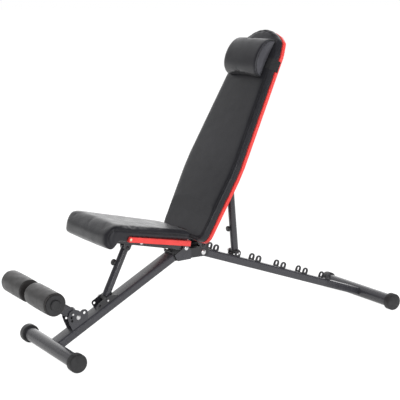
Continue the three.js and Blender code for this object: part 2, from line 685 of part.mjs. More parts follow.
// Arm tube between the bracket plates. Its open slot lets the lock pin leave when the arm swings up.
function rollerArm() {
  const reach = distance(ROLLER_PIVOT, ROLLER_AXIS);
  const half = ARM_TUBE.height / 2;
  const side = plate(outline([
    [-half, -half, 18], [reach + half - 1, -half, 18], [reach + half - 1, half, 18], [-half, half, 18],
  ]), -60, 60);
  const tube = boxTube(ARM_TUBE, -half, reach + half - 1).intersect(side);
  const [inner, outer] = [26.2 - CATCH.hole, 26.2 + CATCH.hole];
  const start = rad(147 - bearing(ROLLER_PIVOT, ROLLER_AXIS));
  const slot = [];
  for (let i = 0; i <= 8; i += 1) {
    const angle = start + (rad(75) * i) / 8;
    slot.push(new THREE.Vector2(outer * Math.cos(angle), outer * Math.sin(angle)));
  }
  for (let i = 8; i >= 0; i -= 1) {
    const angle = start + (rad(75) * i) / 8;
    slot.push(new THREE.Vector2(inner * Math.cos(angle), inner * Math.sin(angle)));
  }
  const seat = rod(CATCH.hole, -60, 60, 26.2 * Math.cos(start), 26.2 * Math.sin(start));
  return cut(
    tube, rod(HINGE_BOLT + RUNNING, -60, 60), rod(CROSSBAR.radius + GAP, -60, 60, reach, 0, 32),
    plate(slot, -60, 60), seat,
  );
}

const crossbar = () => sleeve(
  CROSSBAR.radius, CROSSBAR.radius - CROSSBAR.wall, -CROSSBAR.halfLength, CROSSBAR.halfLength, 0, 0, 48,
);

// Foam roller on its own sleeve bore, slightly rounded at both ends.
function foamRoller(side) {
  const { radius, inner, outer } = FOAM;
  const bore = CROSSBAR.radius + RUNNING;
  const profile = [
    [bore, inner], [radius - 3, inner], [radius, inner + 3], [radius, outer - 3], [radius - 3, outer],
    [bore, outer], [bore, inner],
  ];
  return turned(profile.map(([r, y]) => [r, side * y]), 0, 0, 48);
}

// Disc that closes a roller's outer end, with a raised boss.
function rollerCap(side) {
  const face = FOAM.outer + GAP;
  const profile = [
    [0, face], [33, face], [34, face + 1], [33.5, face + 2.6], [19, face + 3.4], [18, face + 7.6],
    [15.5, face + 9.4], [0, face + 10],
  ];
  return turned(profile.map(([r, y]) => [r, side * y]), 0, 0, 32);
}

// ---------------------------------------------------------------- assembly

stabiliser('front', FRONT_STABILISER);
stabiliser('rear', REAR_STABILISER);
add('front_leg', frontLeg(), LEG, 'frame');
add('front_leg_plug', frontLegPlug(), LEG, 'plastic');
add('rear_rail', rearRail(), RAIL, 'frame');
CATCH_STATIONS.forEach((station, i) => add(`rail_catch_${i + 1}`, railCatch(station), RAIL, 'dark'));

const gussets = both(gusset);
add('gusset_near', gussets.near, SIDE, 'frame');
add('gusset_far', gussets.far, SIDE, 'frame');
add('hinge_channel', hingeChannel(), SIDE, 'dark');
boltAndNut('rail_pivot', RAIL_PIVOT, HINGE_BOLT, 10, HINGE_WALL.outer);
boltAndNut('seat_pivot', SEAT_PIVOT, HINGE_BOLT, 8.5, GUSSET.outer);
boltAndNut('backrest_pivot', BACKREST_PIVOT, HINGE_BOLT, 8, BACK_FRAME_WALL.outer, 'dark');

add('backrest_board', backrestBoard(), BACKREST, 'red');
add('backrest_cushion', backrestCushion(), BACKREST, 'leather');
add('backrest_frame', backrestFrame(), BACKREST, 'frame');
add('head_pillow', headPillow(), BACKREST, 'leather');
add('pillow_strap', pillowStrap(), BACKREST, 'fabric');
boltAndNut('backrest_strut', BACKREST_STRUT_TOP, STRUT_BOLT, 6.5, BACK_FRAME_WALL.outer);
addStrut('backrest', BACK_STRUT, BACKREST_STRUT_TOP, BACKREST_STRUT_FOOT, 96, 11, 19.8);
add('backrest_lock_pin', lockPin(CATCH.outer + 2), BACK_STRUT, 'steel');

add('seat_board', seatBoard(), SEAT_FRAME, 'red');
add('seat_cushion', seatCushion(), SEAT_FRAME, 'leather');
add('seat_frame', seatFrame(), SEAT_FRAME, 'frame');
add('seat_screw_front', seatScrew(seatScrewStations[0]), SEAT_FRAME, 'steel');
add('seat_screw_rear', seatScrew(seatScrewStations[1]), SEAT_FRAME, 'steel');
boltAndNut('seat_cross', SEAT_CROSS_BOLT, STRUT_BOLT, 8.5, SEAT_TUBE.width / 2);
boltAndNut('seat_strut', SEAT_STRUT_TOP, STRUT_BOLT, 6.5, SEAT_LUG.outer, 'dark');
addStrut('seat', FRONT_STRUT, SEAT_STRUT_TOP, SEAT_STRUT_FOOT, 133, 12, 19.8);
add('seat_lock_pin', lockPin(FOOT_PLATE.outer), FRONT_STRUT, 'steel');
add('strut_channel', strutChannel(), LEG, 'dark');

const brackets = both(rollerBracket);
add('roller_bracket_near', brackets.near, SIDE, 'frame');
add('roller_bracket_far', brackets.far, SIDE, 'frame');
boltAndNut('roller_pivot', ROLLER_PIVOT, HINGE_BOLT, 8.5, FOOT_PLATE.outer);
add('roller_arm', rollerArm(), ARM, 'frame');
const axle = tilted(0, ROLLER_AXIS);
add('roller_crossbar', crossbar(), axle, 'frame');
const rollers = both(foamRoller);
add('roller_near', rollers.near, axle, 'foam');
add('roller_far', rollers.far, axle, 'foam');
const rollerCaps = both(rollerCap);
add('roller_cap_near', rollerCaps.near, axle, 'plastic');
add('roller_cap_far', rollerCaps.far, axle, 'plastic');
const adjuster = {
  x: ROLLER_PIVOT.x + 26.2 * Math.cos(rad(147)), z: ROLLER_PIVOT.z + 26.2 * Math.sin(rad(147)),
};
add('roller_lock_pin', lockPin(FOOT_PLATE.outer), tilted(0, adjuster), 'steel');

export default bench;
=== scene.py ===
"""Looks of the folding decline sit-up bench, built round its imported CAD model. Metres, Z up."""

import json
import math

import bmesh
import bpy
import numpy as np
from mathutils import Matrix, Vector
from mathutils.bvhtree import BVHTree


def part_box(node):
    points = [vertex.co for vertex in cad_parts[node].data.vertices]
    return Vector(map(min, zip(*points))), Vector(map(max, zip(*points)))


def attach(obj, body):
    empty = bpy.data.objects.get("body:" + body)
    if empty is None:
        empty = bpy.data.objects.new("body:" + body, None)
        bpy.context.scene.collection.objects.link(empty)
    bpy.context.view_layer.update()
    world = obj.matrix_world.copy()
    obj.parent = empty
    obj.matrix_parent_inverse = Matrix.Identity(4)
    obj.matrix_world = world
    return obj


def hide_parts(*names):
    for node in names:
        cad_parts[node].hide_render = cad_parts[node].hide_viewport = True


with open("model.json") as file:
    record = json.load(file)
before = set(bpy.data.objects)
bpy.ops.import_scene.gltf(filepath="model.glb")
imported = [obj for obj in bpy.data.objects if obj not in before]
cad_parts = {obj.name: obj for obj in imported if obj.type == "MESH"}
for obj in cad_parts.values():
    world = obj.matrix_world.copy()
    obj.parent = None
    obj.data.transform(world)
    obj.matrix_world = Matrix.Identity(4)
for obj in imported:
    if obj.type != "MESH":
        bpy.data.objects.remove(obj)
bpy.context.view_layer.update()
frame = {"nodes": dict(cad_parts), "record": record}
NODES = frame["nodes"]

BACK_TILT = math.radians(63.0)
SEAT_TILT = math.radians(-12.11)

# How each pad is made from its CAD solid: mesh size, rounds of smoothing, slack taken in, swell allowed.
PAD_FORMS = {
    "backrest_cushion": {"voxel": 0.0055, "rounds": 1, "slack": 0.0006, "swell": 0.0030},
    "seat_cushion": {"voxel": 0.005, "rounds": 6, "slack": 0.001, "swell": 0.006},
    "head_pillow": {"voxel": 0.0045, "rounds": 2, "slack": 0.0005, "swell": 0.006},
}
PAD_PRESSURE = 4.0
BACK_CROWN, SEAT_CROWN = 0.0025, 0.003
NOSE_DROP = 1.25  # the seat's rolled nose sags below the board by this much more than the bare form
SEAM_DEPTH, SEAM_WIDTH = 0.0016, 0.0035
PILLOW_SEAM_DEPTH, PILLOW_SEAM_WIDTH = 0.0014, 0.003
SEAM_STEP = 0.006
CORD_RADIUS = 0.0011

# Strap: its stations along the backrest, its thickness, and the board's half width at two stations.
STRAP_LOW, STRAP_HIGH = 0.950, 0.993
STRAP_THICKNESS = 0.0011
STRAP_GAP = 0.0003
BOARD_STATIONS, BOARD_HALF_WIDTHS = (0.535, 1.0), (0.165, 0.121)
PILLOW_HALF_WIDTH = 0.107

# Camera of the product view: place, heading from +Y towards +X, downward pitch, lens in mm, lens shift.
CAMERA_PLACE = (-2.204, -3.393, 1.266)
CAMERA_YAW = 0.565
CAMERA_PITCH = 0.189
CAMERA_LENS = 99.2
CAMERA_SHIFT = (0.003, -0.00125)

# Light that reaches the bench: level all round, and the white wall behind it.
ROOM_LIGHT = 0.10
FLOOR_LIGHT = 0.85
BACKDROP_LIGHT = 1.35
BACKDROP_START, BACKDROP_FULL = 0.15, 0.8
FLOOR_HALF_SIZE = 60.0
FLOOR_SEEN = 0.955  # how bright the floor looks to the lens


# ------------------------------------------------------------------ small helpers

def axes(tilt):
    """Unit vectors along a pad and out of its face."""
    along = Vector((math.cos(tilt), 0.0, math.sin(tilt)))
    out = Vector((-math.sin(tilt), 0.0, math.cos(tilt)))
    return along, out


def to_local(points, tilt):
    """World points as (along, across, out) columns."""
    c, s = math.cos(tilt), math.sin(tilt)
    x, y, z = points[:, 0], points[:, 1], points[:, 2]
    return np.stack([x * c + z * s, y, -x * s + z * c], axis=1)


def to_world(local, tilt):
    c, s = math.cos(tilt), math.sin(tilt)
    u, y, w = local[:, 0], local[:, 1], local[:, 2]
    return np.stack([u * c - w * s, y, u * s + w * c], axis=1)


def coords(mesh):
    values = np.empty(len(mesh.vertices) * 3)
    mesh.vertices.foreach_get("co", values)
    return values.reshape(-1, 3)


def set_coords(mesh, points):
    mesh.vertices.foreach_set("co", points.reshape(-1))
    mesh.update()


def vertex_normals(mesh):
    values = np.empty(len(mesh.vertices) * 3)
    mesh.vertices.foreach_get("normal", values)
    return values.reshape(-1, 3)


def new_object(name, mesh):
    obj = bpy.data.objects.new(name, mesh)
    bpy.context.scene.collection.objects.link(obj)
    return obj


def shade_smooth(mesh):
    for polygon in mesh.polygons:
        polygon.use_smooth = True


def from_rings(name, rings, closed_along=False):
    """Solid through rings of equal length. Each ring closes on itself; the ends are capped or joined."""
    verts = [tuple(p) for ring in rings for p in ring]
    count = len(rings[0])
    faces = []
    spans = len(rings) if closed_along else len(rings) - 1
    for i in range(spans):
        a, b = i * count, ((i + 1) % len(rings)) * count
        for j in range(count):
            k = (j + 1) % count
            faces.append((a + j, a + k, b + k, b + j))
    if not closed_along:
        faces.append(tuple(range(count))[::-1])
        last = (len(rings) - 1) * count
        faces.append(tuple(last + j for j in range(count)))
    mesh = bpy.data.meshes.new(name)
    mesh.from_pydata(verts, [], faces)
    mesh.update()
    bm = bmesh.new()
    bm.from_mesh(mesh)
    bmesh.ops.recalc_face_normals(bm, faces=bm.faces)
    bm.to_mesh(mesh)
    bm.free()
    shade_smooth(mesh)
    return new_object(name, mesh)


def cord(name, path, radius, closed, sides=8):
    """Round cord along a list of points."""
    points = [Vector(p) for p in path]
    count = len(points)
    rings = []
    side = None
    for i, point in enumerate(points):
        before = points[(i - 1) % count] if closed or i > 0 else point
        after = points[(i + 1) % count] if closed or i < count - 1 else point
        direction = (after - before).normalized()
        if side is None:
            side = direction.orthogonal().normalized()
        side = (side - direction * side.dot(direction)).normalized()
        other = direction.cross(side)
        ring = []
        for j in range(sides):
            angle = 2 * math.pi * j / sides
            ring.append(point + (side * math.cos(angle) + other * math.sin(angle)) * radius)
        rings.append(ring)
    return from_rings(name, rings, closed_along=closed)


def hull_outline(points):
    """Convex outline of 2D points, anticlockwise."""
    ordered = sorted(set((round(float(a), 6), round(float(b), 6)) for a, b in points))

    def chain(items):
        result = []
        for p in items:
            while len(result) >= 2:
                (x1, y1), (x2, y2) = result[-2], result[-1]
                if (x2 - x1) * (p[1] - y1) - (y2 - y1) * (p[0] - x1) > 0:
                    break
                result.pop()
            result.append(p)
        return result

    lower = chain(ordered)
    upper = chain(ordered[::-1])
    return np.array(lower[:-1] + upper[:-1])


def resample(outline, step, closed=True):
    """Points at even spacing along a 2D or 3D polyline."""
    points = np.vstack([outline, outline[:1]]) if closed else np.asarray(outline)
    lengths = np.linalg.norm(np.diff(points, axis=0), axis=1)
    travel = np.concatenate([[0.0], np.cumsum(lengths)])
    count = max(8, int(round(travel[-1] / step)))
    stops = np.linspace(0.0, travel[-1], count, endpoint=not closed)
    return np.stack([np.interp(stops, travel, points[:, k]) for k in range(points.shape[1])], axis=1)


def inset_outline(outline, distance):
    """Outline moved inwards along its own normals."""
    after = np.roll(outline, -1, axis=0)
    before = np.roll(outline, 1, axis=0)
    tangent = after - before
    tangent /= np.linalg.norm(tangent, axis=1)[:, None]
    inward = np.stack([-tangent[:, 1], tangent[:, 0]], axis=1)
    return outline + inward * distance


def smooth_closed(points, rounds):
    for _ in range(rounds):
        points = 0.5 * points + 0.25 * (np.roll(points, 1, axis=0) + np.roll(points, -1, axis=0))
    return points


def smooth_open(points, rounds):
    for _ in range(rounds):
        middle = 0.5 * points[1:-1] + 0.25 * (points[:-2] + points[2:])
        points = np.vstack([points[:1], middle, points[-1:]])
    return points


def surface_tree(obj):
    verts = [v.co.copy() for v in obj.data.vertices]
    faces = [list(p.vertices) for p in obj.data.polygons]
    return BVHTree.FromPolygons(verts, faces)


# ------------------------------------------------------------------ materials

class Nodes:
    """Short way to write a material's node tree."""

    def __init__(self, name):
        self.material = bpy.data.materials.new(name)
        self.material.use_nodes = True
        self.tree = self.material.node_tree
        self.tree.nodes.clear()
        self.output = self.tree.nodes.new("ShaderNodeOutputMaterial")
        self.shader = self.tree.nodes.new("ShaderNodeBsdfPrincipled")
        self.tree.links.new(self.shader.outputs[0], self.output.inputs["Surface"])
        self.place = self.tree.nodes.new("ShaderNodeTexCoord").outputs["Object"]

    def add(self, kind, inputs=None, **settings):
        node = self.tree.nodes.new("ShaderNode" + kind)
        for key, value in settings.items():
            setattr(node, key, value)
        for key, value in (inputs or {}).items():
            self.feed(node.inputs[key], value)
        return node

    def feed(self, socket, value):
        if isinstance(value, bpy.types.NodeSocket):
            self.tree.links.new(value, socket)
        else:
            socket.default_value = value

    def set(self, **values):
        for key, value in values.items():
            self.feed(self.shader.inputs[key.replace("_", " ")], value)

    def noise(self, scale, detail=2.0, rough=0.5, stretch=None):
        place = self.place
        if stretch is not None:
            place = self.add("Mapping", {"Vector": place, "Scale": stretch}).outputs[0]
        inputs = {"Vector": place, "Scale": scale, "Detail": detail, "Roughness": rough}
        return self.add("TexNoise", inputs).outputs[0]

    def cells(self, scale, feature="F1"):
        inputs = {"Vector": self.place, "Scale": scale}
        return self.add("TexVoronoi", inputs, feature=feature).outputs["Distance"]

    def ramp(self, value, low, high, colour_low, colour_high):
        node = self.add("ValToRGB", {"Fac": value})
        node.color_ramp.elements[0].position = low
        node.color_ramp.elements[1].position = high
        node.color_ramp.elements[0].color = (*colour_low, 1.0)
        node.color_ramp.elements[1].color = (*colour_high, 1.0)
        return node.outputs[0]

    def scaled(self, value, low, high, to_low, to_high):
        inputs = {"Value": value, "From Min": low, "From Max": high, "To Min": to_low, "To Max": to_high}
        return self.add("MapRange", inputs).outputs[0]

    def bumps(self, *layers, edge=0.0):
        """Bump layers of (height, strength, distance), over rounded edges when edge is set."""
        normal = self.add("Bevel", {"Radius": edge}, samples=4).outputs[0] if edge else None
        for height, strength, distance in layers:
            inputs = {"Height": height, "Strength": strength, "Distance": distance}
            if normal is not None:
                inputs["Normal"] = normal
            normal = self.add("Bump", inputs).outputs[0]
        self.feed(self.shader.inputs["Normal"], normal)

    def edge_wear(self, base, worn, low=0.56, high=0.66):
        """Colour that turns to the worn one along convex edges, broken up by noise."""
        convex = self.add("NewGeometry").outputs["Pointiness"]
        broken = self.add("Math", {0: convex, 1: self.scaled(self.noise(60.0), 0.3, 0.7, -0.03, 0.03)},
                          operation="ADD").outputs[0]
        mask = self.scaled(broken, low, high, 0.0, 1.0)
        mix = self.add("Mix", {0: mask}, data_type="RGBA")
        self.feed(mix.inputs[6], base)
        self.feed(mix.inputs[7], (*worn, 1.0))
        return mix.outputs[2]


def coated_metal(name, colour, light, rough, peel):
    m = Nodes(name)
    base = m.ramp(m.noise(9.0, 4.0), 0.3, 0.75, colour, light)
    m.set(Base_Color=m.edge_wear(base, tuple(c * 1.5 for c in colour)), Metallic=0.0)
    m.set(Roughness=m.scaled(m.noise(35.0, 3.0), 0.3, 0.7, rough - 0.03, rough + 0.04))
    m.shader.inputs["Specular IOR Level"].default_value = 0.6
    m.bumps((m.noise(620.0, 2.0), peel, 0.0003), edge=0.0009)
    return m.material


def zinc_plate():
    m = Nodes("zinc")
    m.set(Base_Color=m.ramp(m.noise(120.0, 3.0), 0.3, 0.7, (0.70, 0.70, 0.71), (0.88, 0.88, 0.88)))
    m.set(Metallic=0.85)
    m.set(Roughness=m.scaled(m.noise(240.0, 3.0), 0.3, 0.7, 0.24, 0.4))
    m.bumps((m.noise(900.0, 2.0, stretch=(1.0, 6.0, 1.0)), 0.12, 0.0004), edge=0.0006)
    return m.material


def moulded(name, colour, rough, grain):
    m = Nodes(name)
    light = tuple(c * 1.7 + 0.004 for c in colour)
    m.set(Base_Color=m.ramp(m.noise(40.0, 3.0), 0.35, 0.75, colour, light))
    m.set(Roughness=m.scaled(m.noise(70.0, 3.0), 0.3, 0.7, rough - 0.06, rough + 0.08))
    m.bumps((m.cells(1500.0), grain, 0.0004), (m.noise(160.0), 0.08, 0.0006), edge=0.0012)
    return m.material


def leatherette(name, colour, light, rough):
    """Black coated fabric: pebble grain, fine pores and slow shading changes."""
    m = Nodes(name)
    slow = m.noise(5.0, 3.0)
    pebble = m.cells(430.0)
    m.set(Base_Color=m.ramp(slow, 0.35, 0.7, colour, light))
    m.set(Roughness=m.scaled(m.noise(26.0, 3.0), 0.3, 0.7, rough - 0.05, rough + 0.07))
    m.shader.inputs["Specular IOR Level"].default_value = 0.32
    m.shader.inputs["Sheen Weight"].default_value = 0.03
    m.shader.inputs["Sheen Roughness"].default_value = 0.4
    m.bumps((m.noise(22.0, 3.0), 0.12, 0.004), (pebble, 0.32, 0.0006), (m.noise(1800.0), 0.1, 0.0002))
    return m.material


def painted_board():
    """Red painted board edge with a faint ply grain under the paint."""
    m = Nodes("red_edge")
    m.set(Base_Color=m.ramp(m.noise(30.0, 3.0), 0.3, 0.75, (0.76, 0.052, 0.048), (0.86, 0.072, 0.064)))
    m.set(Roughness=m.scaled(m.noise(60.0), 0.3, 0.7, 0.36, 0.5))
    m.bumps((m.noise(420.0), 0.14, 0.0006), (m.noise(60.0, 3.0, stretch=(1, 1, 8)), 0.1, 0.0008), edge=0.001)
    return m.material


def cell_foam():
    m = Nodes("foam")
    m.set(Base_Color=m.ramp(m.noise(14.0, 4.0), 0.3, 0.75, (0.017, 0.0155, 0.0155), (0.024, 0.022, 0.022)))
    m.set(Roughness=m.scaled(m.noise(50.0), 0.3, 0.7, 0.40, 0.50))
    m.shader.inputs["Sheen Weight"].default_value = 0.05
    m.bumps((m.cells(1400.0), 0.16, 0.0003), (m.noise(160.0, 3.0), 0.06, 0.0004))
    return m.material


def woven_elastic():
    """Narrow ribbed elastic: ribs run round the strap, crossed by a fine weave."""
    m = Nodes("elastic")
    ribs = m.add("TexWave", {"Vector": m.place, "Scale": 210.0, "Distortion": 0.2},
                 wave_type="BANDS", bands_direction="Z").outputs["Fac"]
    weave = m.add("TexWave", {"Vector": m.place, "Scale": 300.0, "Distortion": 0.3},
                  wave_type="BANDS", bands_direction="Y").outputs["Fac"]
    m.set(Base_Color=m.ramp(ribs, 0.2, 0.8, (0.012, 0.012, 0.013), (0.032, 0.032, 0.034)))
    m.set(Roughness=0.85)
    m.bumps((ribs, 0.4, 0.0006), (weave, 0.3, 0.0004))
    return m.material


def bare_wood():
    m = Nodes("bare_edge")
    grain = m.noise(90.0, 4.0, stretch=(1, 1, 9))
    m.set(Base_Color=m.ramp(grain, 0.3, 0.7, (0.66, 0.53, 0.36), (0.78, 0.66, 0.48)), Roughness=0.7)
    m.bumps((grain, 0.2, 0.0005))
    return m.material


CHARCOAL, CHARCOAL_LIGHT = (0.030, 0.030, 0.035), (0.036, 0.036, 0.042)
STEEL, STEEL_LIGHT = (0.013, 0.013, 0.015), (0.017, 0.017, 0.020)
HIDE, HIDE_LIGHT = (0.015, 0.015, 0.018), (0.022, 0.022, 0.026)
# Painted light: the pillow's end panels take a lighter black than the rest of the cover, standing for the
# light that falls on their flat ends.
PAINTED_LIT_END_HIDE, PAINTED_LIT_END_HIDE_LIGHT = (0.050, 0.050, 0.058), (0.066, 0.066, 0.075)

FINISHES = {
    "powder_coat_charcoal": coated_metal("powder_coat", CHARCOAL, CHARCOAL_LIGHT, 0.27, 0.06),
    "black_steel": coated_metal("black_steel", STEEL, STEEL_LIGHT, 0.32, 0.06),
    "zinc": zinc_plate(),
    "black_plastic": moulded("black_plastic", (0.012, 0.012, 0.013), 0.42, 0.2),
    "black_rubber": moulded("black_rubber", (0.016, 0.016, 0.017), 0.52, 0.25),
    "foam": cell_foam(),
    "black_leatherette": leatherette("leatherette", HIDE, HIDE_LIGHT, 0.36),
    "red_edge": painted_board(),
    "elastic": woven_elastic(),
}
# Painted light: a lighter leatherette for the pillow's end panels, for how light falls on them.
PAINTED_LIT_END_PANEL = leatherette("leatherette_end_painted_light", PAINTED_LIT_END_HIDE, PAINTED_LIT_END_HIDE_LIGHT, 0.44)
THREAD = moulded("seam_thread", (0.012, 0.012, 0.013), 0.6, 0.3)
BARE = bare_wood()


def paint(obj, material):
    obj.data.materials.clear()
    obj.data.materials.append(material)


# ------------------------------------------------------------------ CAD nodes keep their shape

def smooth_by_angle():
    """Geometry nodes: welded faces shade smooth, edges sharper than 32 degrees stay crisp."""
    tree = bpy.data.node_groups.new("smooth_by_angle", "GeometryNodeTree")
    tree.interface.new_socket("Geometry", in_out="INPUT", socket_type="NodeSocketGeometry")
    tree.interface.new_socket("Geometry", in_out="OUTPUT", socket_type="NodeSocketGeometry")
    start = tree.nodes.new("NodeGroupInput")
    end = tree.nodes.new("NodeGroupOutput")
    drop = tree.nodes.new("GeometryNodeRemoveAttribute")
    drop.inputs["Name"].default_value = "custom_normal"
    weld = tree.nodes.new("GeometryNodeMergeByDistance")
    weld.inputs["Distance"].default_value = 0.00002
    faces = tree.nodes.new("GeometryNodeSetShadeSmooth")
    edges = tree.nodes.new("GeometryNodeSetShadeSmooth")
    edges.domain = "EDGE"
    angle = tree.nodes.new("GeometryNodeInputMeshEdgeAngle")
    sharp = tree.nodes.new("FunctionNodeCompare")
    sharp.operation = "GREATER_THAN"
    sharp.inputs[1].default_value = math.radians(32.0)
    edges.inputs["Shade Smooth"].default_value = False
    link = tree.links.new
    link(start.outputs[0], drop.inputs["Geometry"])
    link(drop.outputs[0], weld.inputs["Geometry"])
    link(weld.outputs[0], faces.inputs["Geometry"])
    link(faces.outputs[0], edges.inputs["Geometry"])
    link(angle.outputs["Unsigned Angle"], sharp.inputs[0])
    link(sharp.outputs[0], edges.inputs["Selection"])
    link(edges.outputs[0], end.inputs[0])
    return tree


def dress_cad_nodes():
    tree = smooth_by_angle()
    slots = {s["node"]: s["material_slot"] for s in frame["record"]["subparts"]}
    for name, obj in NODES.items():
        paint(obj, FINISHES[slots[name]])
        modifier = obj.modifiers.new("smooth", "NODES")
        modifier.node_group = tree


# ------------------------------------------------------------------ padded pieces

def remeshed(name, source, voxel):
    """Welded copy of a CAD solid as an even voxel mesh."""
    mesh = source.data.copy()
    bm = bmesh.new()
    bm.from_mesh(mesh)
    bmesh.ops.remove_doubles(bm, verts=bm.verts, dist=0.00005)
    bm.to_mesh(mesh)
    bm.free()
    mesh.name = name
    pad = new_object(name, mesh)
    modifier = pad.modifiers.new("voxel", "REMESH")
    modifier.mode = "VOXEL"
    modifier.voxel_size = voxel
    apply_modifiers(pad)
    return pad


def apply_modifiers(obj):
    depsgraph = bpy.context.evaluated_depsgraph_get()
    mesh = bpy.data.meshes.new_from_object(obj.evaluated_get(depsgraph))
    obj.modifiers.clear()
    old = obj.data
    obj.data = mesh
    bpy.data.meshes.remove(old)


def relax(obj, rounds, factor=0.5):
    bm = bmesh.new()
    bm.from_mesh(obj.data)
    for _ in range(rounds):
        bmesh.ops.smooth_vert(
            bm, verts=bm.verts, factor=factor, use_axis_x=True, use_axis_y=True, use_axis_z=True)
    bm.to_mesh(obj.data)
    bm.free()


def inflate(obj, pressure, cap):
    """Cloth pressure from inside, with every point held within cap of where it started."""
    start = coords(obj.data)
    modifier = obj.modifiers.new("cloth", "CLOTH")
    cloth = modifier.settings
    cloth.quality = 5
    cloth.mass = 0.3
    cloth.tension_stiffness = 12.0
    cloth.compression_stiffness = 12.0
    cloth.bending_stiffness = 0.6
    cloth.use_pressure = True
    cloth.uniform_pressure_force = pressure
    cloth.effector_weights.gravity = 0.0
    modifier.collision_settings.use_collision = False
    scene = bpy.context.scene
    for step in range(1, 21):
        scene.frame_set(step)
    depsgraph = bpy.context.evaluated_depsgraph_get()
    swollen = coords(obj.evaluated_get(depsgraph).data).copy()
    obj.modifiers.clear()
    scene.frame_set(1)
    moved = swollen - start
    length = np.linalg.norm(moved, axis=1)
    share = cap * np.tanh(length / cap) / np.maximum(length, 1e-9)
    set_coords(obj.data, start + moved * share[:, None])


def subdivide(obj):
    modifier = obj.modifiers.new("subdivide", "SUBSURF")
    modifier.levels = 1
    modifier.render_levels = 1
    apply_modifiers(obj)
    shade_smooth(obj.data)


def shrink(obj, amount):
    set_coords(obj.data, coords(obj.data) - vertex_normals(obj.data) * amount)


def swollen_pad(name, node):
    """Soft form of one CAD cushion: smoothed, taken in a little, then blown up."""
    form = PAD_FORMS[node]
    pad = remeshed(name, NODES[node], form["voxel"])
    relax(pad, form["rounds"])
    shrink(pad, form["slack"])
    inflate(pad, PAD_PRESSURE, form["swell"])
    return pad


def groove(obj, paths, depth=SEAM_DEPTH, width=SEAM_WIDTH):
    """Sinks the surface along seam paths."""
    points = coords(obj.data)
    normals = vertex_normals(obj.data)
    nearest = np.full(len(points), 1.0)
    for path in paths:
        for chunk in np.array_split(np.asarray(path), max(1, len(path) // 40)):
            low = chunk.min(axis=0) - 4 * width
            high = chunk.max(axis=0) + 4 * width
            near = np.where(np.all((points > low) & (points < high), axis=1))[0]
            if len(near) == 0:
                continue
            gaps = np.linalg.norm(points[near][:, None, :] - chunk[None, :, :], axis=2).min(axis=1)
            nearest[near] = np.minimum(nearest[near], gaps)
    sink = depth * np.exp(-(nearest / width) ** 2)
    set_coords(obj.data, points - normals * sink[:, None])


def finish_pad(obj, node, body, slot="black_leatherette", material=None):
    paint(obj, material or FINISHES[slot])
    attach(obj, body)
    if node:
        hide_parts(node)


def seam_piece(name, paths, body):
    """One object of cords along seam paths: (points, closed) pairs."""
    parts = [cord(f"{name}_{i}", points, CORD_RADIUS, closed) for i, (points, closed) in enumerate(paths)]
    bm = bmesh.new()
    for part in parts:
        bm.from_mesh(part.data)
    merged = parts[0]
    bm.to_mesh(merged.data)
    bm.free()
    for part in parts[1:]:
        bpy.data.objects.remove(part)
    merged.name = name
    shade_smooth(merged.data)
    finish_pad(merged, None, body, material=THREAD)


def cast_path(tree, flat, plane, tilt, reach):
    """Drops 2D points onto a surface. plane "face" casts along the pad's outward axis, "side" across."""
    along, out = axes(tilt)
    across = Vector((0.0, 1.0, 0.0))
    hits = []
    for a, b in flat:
        if plane == "face":
            start = along * a + across * b + out * reach
            direction = -out
        else:
            start = along * a + out * b + across * reach
            direction = across if reach < 0 else -across
        point, _, _, _ = tree.ray_cast(start, direction)
        if point is not None:
            hits.append(np.array(point))
    return np.array(hits)


def flatten_underside(obj, tilt, low):
    """Keeps a pad from passing through what it rests on."""
    local = to_local(coords(obj.data), tilt)
    local[:, 2] = np.maximum(local[:, 2], low)
    set_coords(obj.data, to_world(local, tilt))


def crown(obj, tilt, base, top, height, half):
    """Raises the middle of a pad's face a little above its edges."""
    local = to_local(coords(obj.data), tilt)
    share = np.clip((local[:, 2] - base) / (top - base), 0.0, 1.0)
    across = np.clip(1.0 - (local[:, 1] / half) ** 2, 0.0, 1.0)
    local[:, 2] += height * share * across
    set_coords(obj.data, to_world(local, tilt))


def local_box(node, tilt):
    """Lowest and highest (along, across, out) of a CAD node."""
    local = to_local(coords(NODES[node].data), tilt)
    return local.min(axis=0), local.max(axis=0)


def backrest_cushion():
    """Backrest pad. The bottom of its face stays flat and its seam open, to pass the seat when upright."""
    flat_part, blend, rise, skin = 0.10, 0.10, 0.01, 0.0003
    rim_inset, cord_sunk = 0.013, 0.0012
    notch_half, notch_reach = 0.062, 0.04
    low, high = local_box("backrest_cushion", BACK_TILT)
    pad = swollen_pad("backrest_pad", "backrest_cushion")
    crown(pad, BACK_TILT, low[2], high[2], BACK_CROWN, high[1])
    local = to_local(coords(pad.data), BACK_TILT)
    above = np.clip((local[:, 0] - low[0] - flat_part) / blend, 0.0, 1.0)
    local[:, 2] = np.clip(local[:, 2], low[2], high[2] - skin + rise * above)
    set_coords(pad.data, to_world(local, BACK_TILT))
    subdivide(pad)
    flat = to_local(coords(NODES["backrest_cushion"].data), BACK_TILT)[:, :2]
    outline = smooth_closed(resample(hull_outline(flat), SEAM_STEP), 3)
    rim = cast_path(surface_tree(pad), inset_outline(outline, rim_inset), "face", BACK_TILT, 2.0)
    place = to_local(rim, BACK_TILT)
    tucked = (np.abs(place[:, 1]) < notch_half) & (place[:, 0] < low[0] + notch_reach)
    start = int(np.argmax(~tucked & np.roll(tucked, 1)))
    rim = np.roll(rim, -start, axis=0)[: int((~tucked).sum())]
    groove(pad, [rim])
    finish_pad(pad, "backrest_cushion", "backrest")
    _, out = axes(BACK_TILT)
    seam_piece("backrest_seam", [(rim - np.array(out) * cord_sunk, False)], "backrest")
    return pad


